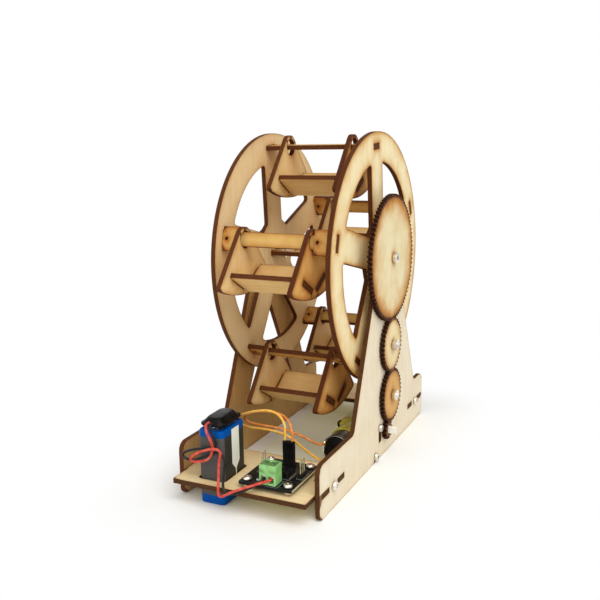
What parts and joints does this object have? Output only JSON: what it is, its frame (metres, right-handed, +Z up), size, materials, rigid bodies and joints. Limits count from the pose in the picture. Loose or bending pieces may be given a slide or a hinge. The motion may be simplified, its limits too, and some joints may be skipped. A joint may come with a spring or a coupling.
{
  "type": "ferris wheel model kit",
  "caption": "Plywood ferris wheel kit: two rings with hanging gondolas between A-shaped panels, turned through wooden gears by a small motor, with a battery and a control board on a shelf.",
  "frame": {"origin": "on the underside of the right side panel, straight below the wheel's axle, at the level of the surface the kit stands on", "axes": "+X along the axle towards the right side panel and the gears, +Y towards the rear, so the shelf is at -Y, +Z up"},
  "size_m": [0.107, 0.2334, 0.22],
  "materials": {
    "axle_bolt_left_steel": "bright plated",
    "axle_bolt_right_steel": "bright plated",
    "battery_wrap": "printed film, gloss",
    "battery_snap_black_plastic": "gloss",
    "black_lead_sheath": "satin",
    "board_screw_1_steel": "bright plated",
    "board_screw_2_steel": "bright plated",
    "board_screw_3_steel": "bright plated",
    "board_screw_4_steel": "bright plated",
    "circuit_board_board_black": "gloss solder mask",
    "connector_row_black_plastic": "gloss",
    "crossbar_1_birch": "satin",
    "crossbar_2_birch": "satin",
    "crossbar_3_birch": "satin",
    "crossbar_4_birch": "satin",
    "crossbar_5_birch": "satin",
    "front_screw_left_steel": "bright plated",
    "front_screw_right_steel": "bright plated",
    "front_shelf_birch": "satin",
    "gondola_1_hanger_left_birch": "satin",
    "gondola_1_hanger_right_birch": "satin",
    "gondola_1_seat_birch": "satin",
    "gondola_2_hanger_left_birch": "satin",
    "gondola_2_hanger_right_birch": "satin",
    "gondola_2_seat_birch": "satin",
    "gondola_3_hanger_left_birch": "satin",
    "gondola_3_hanger_right_birch": "satin",
    "gondola_3_seat_birch": "satin",
    "gondola_4_hanger_left_birch": "satin",
    "gondola_4_hanger_right_birch": "satin",
    "gondola_4_seat_birch": "satin",
    "gondola_5_hanger_left_birch": "satin",
    "gondola_5_hanger_right_birch": "satin",
    "gondola_5_seat_birch": "satin",
    "hub_board_birch": "satin",
    "idler_bolt_steel": "bright plated",
    "idler_gear_birch": "satin",
    "lower_gear_toasted_birch": "matte, browned by the laser towards the rim",
    "lower_gear_bolt_steel": "bright plated",
    "main_gear_toasted_birch": "matte, browned by the laser towards the rim",
    "motor_can_steel": "bright plated",
    "motor_end_cap_black_plastic": "gloss",
    "motor_gearbox_yellow_plastic": "satin",
    "motor_output_shaft_white_plastic": "satin",
    "motor_pinion_toasted_birch": "matte, browned by the laser towards the rim",
    "motor_screw_lower_steel": "bright plated",
    "motor_screw_upper_steel": "bright plated",
    "orange_lead_sheath": "satin",
    "rear_cross_board_birch": "satin",
    "rear_screw_left_steel": "bright plated",
    "rear_screw_right_steel": "bright plated",
    "red_lead_sheath": "satin",
    "side_panel_left_birch": "satin",
    "side_panel_right_birch": "satin",
    "terminal_block_green_plastic": "satin",
    "wheel_ring_left_birch": "satin",
    "wheel_ring_right_birch": "satin",
    "yellow_lead_sheath": "satin"
  },
  "bodies": {
    "root": {"battery": "battery_wrap", "battery_snap": "battery_snap_black_plastic", "black_lead": "black_lead_sheath", "board_screw_1": "board_screw_1_steel", "board_screw_2": "board_screw_2_steel", "board_screw_3": "board_screw_3_steel", "board_screw_4": "board_screw_4_steel", "circuit_board": "circuit_board_board_black", "connector_row": "connector_row_black_plastic", "front_screw_left": "front_screw_left_steel", "front_screw_right": "front_screw_right_steel", "front_shelf": "front_shelf_birch", "idler_bolt": "idler_bolt_steel", "lower_gear_bolt": "lower_gear_bolt_steel", "motor_can": "motor_can_steel", "motor_end_cap": "motor_end_cap_black_plastic", "motor_gearbox": "motor_gearbox_yellow_plastic", "motor_screw_lower": "motor_screw_lower_steel", "motor_screw_upper": "motor_screw_upper_steel", "orange_lead": "orange_lead_sheath", "rear_cross_board": "rear_cross_board_birch", "rear_screw_left": "rear_screw_left_steel", "rear_screw_right": "rear_screw_right_steel", "red_lead": "red_lead_sheath", "side_panel_left": "side_panel_left_birch", "side_panel_right": "side_panel_right_birch", "terminal_block": "terminal_block_green_plastic", "yellow_lead": "yellow_lead_sheath"},
    "wheel": {"wheel_ring_right": "wheel_ring_right_birch", "wheel_ring_left": "wheel_ring_left_birch", "hub_board": "hub_board_birch", "axle_bolt_right": "axle_bolt_right_steel", "axle_bolt_left": "axle_bolt_left_steel", "main_gear": "main_gear_toasted_birch", "crossbar_1": "crossbar_1_birch", "crossbar_2": "crossbar_2_birch", "crossbar_3": "crossbar_3_birch", "crossbar_4": "crossbar_4_birch", "crossbar_5": "crossbar_5_birch"},
    "idler": {"idler_gear": "idler_gear_birch"},
    "lower": {"lower_gear": "lower_gear_toasted_birch"},
    "pinion": {"motor_pinion": "motor_pinion_toasted_birch", "motor_output_shaft": "motor_output_shaft_white_plastic"},
    "gondola_1": {"gondola_1_hanger_right": "gondola_1_hanger_right_birch", "gondola_1_hanger_left": "gondola_1_hanger_left_birch", "gondola_1_seat": "gondola_1_seat_birch"},
    "gondola_2": {"gondola_2_hanger_right": "gondola_2_hanger_right_birch", "gondola_2_hanger_left": "gondola_2_hanger_left_birch", "gondola_2_seat": "gondola_2_seat_birch"},
    "gondola_3": {"gondola_3_hanger_right": "gondola_3_hanger_right_birch", "gondola_3_hanger_left": "gondola_3_hanger_left_birch", "gondola_3_seat": "gondola_3_seat_birch"},
    "gondola_4": {"gondola_4_hanger_right": "gondola_4_hanger_right_birch", "gondola_4_hanger_left": "gondola_4_hanger_left_birch", "gondola_4_seat": "gondola_4_seat_birch"},
    "gondola_5": {"gondola_5_hanger_right": "gondola_5_hanger_right_birch", "gondola_5_hanger_left": "gondola_5_hanger_left_birch", "gondola_5_seat": "gondola_5_seat_birch"}
  },
  "joints": [
    {"name": "wheel_spin", "type": "hinge", "parent": "root", "child": "wheel", "pos_m": [-0.0458, 0, 0.1365], "axis": [1, 0, 0], "continuous": true},
    {"name": "idler_spin", "type": "hinge", "parent": "root", "child": "idler", "pos_m": [-0.0458, 0, 0.0765], "axis": [1, 0, 0], "continuous": true},
    {"name": "lower_gear_spin", "type": "hinge", "parent": "root", "child": "lower", "pos_m": [-0.0458, 0, 0.0405], "axis": [1, 0, 0], "continuous": true},
    {"name": "pinion_spin", "type": "hinge", "parent": "root", "child": "pinion", "pos_m": [-0.0458, -0.00702, 0.01755], "axis": [1, 0, 0], "continuous": true},
    {"name": "gondola_1_swing", "type": "hinge", "parent": "wheel", "child": "gondola_1", "pos_m": [-0.0458, -0.00516, 0.21032], "axis": [1, 0, 0], "continuous": true},
    {"name": "gondola_2_swing", "type": "hinge", "parent": "wheel", "child": "gondola_2", "pos_m": [-0.0458, -0.0718, 0.1544], "axis": [1, 0, 0], "continuous": true},
    {"name": "gondola_3_swing", "type": "hinge", "parent": "wheel", "child": "gondola_3", "pos_m": [-0.0458, -0.03921, 0.07375], "axis": [1, 0, 0], "continuous": true},
    {"name": "gondola_4_swing", "type": "hinge", "parent": "wheel", "child": "gondola_4", "pos_m": [-0.0458, 0.04757, 0.07981], "axis": [1, 0, 0], "continuous": true},
    {"name": "gondola_5_swing", "type": "hinge", "parent": "wheel", "child": "gondola_5", "pos_m": [-0.0458, 0.06861, 0.16422], "axis": [1, 0, 0], "continuous": true}
  ],
  "couplings": [
    {"joint": "idler_spin", "follows": "wheel_spin", "ratio": -2.3333},
    {"joint": "lower_gear_spin", "follows": "wheel_spin", "ratio": 2.3333},
    {"joint": "pinion_spin", "follows": "wheel_spin", "ratio": -7},
    {"joint": "gondola_1_swing", "follows": "wheel_spin", "ratio": -1},
    {"joint": "gondola_2_swing", "follows": "wheel_spin", "ratio": -1},
    {"joint": "gondola_3_swing", "follows": "wheel_spin", "ratio": -1},
    {"joint": "gondola_4_swing", "follows": "wheel_spin", "ratio": -1},
    {"joint": "gondola_5_swing", "follows": "wheel_spin", "ratio": -1}
  ]
}
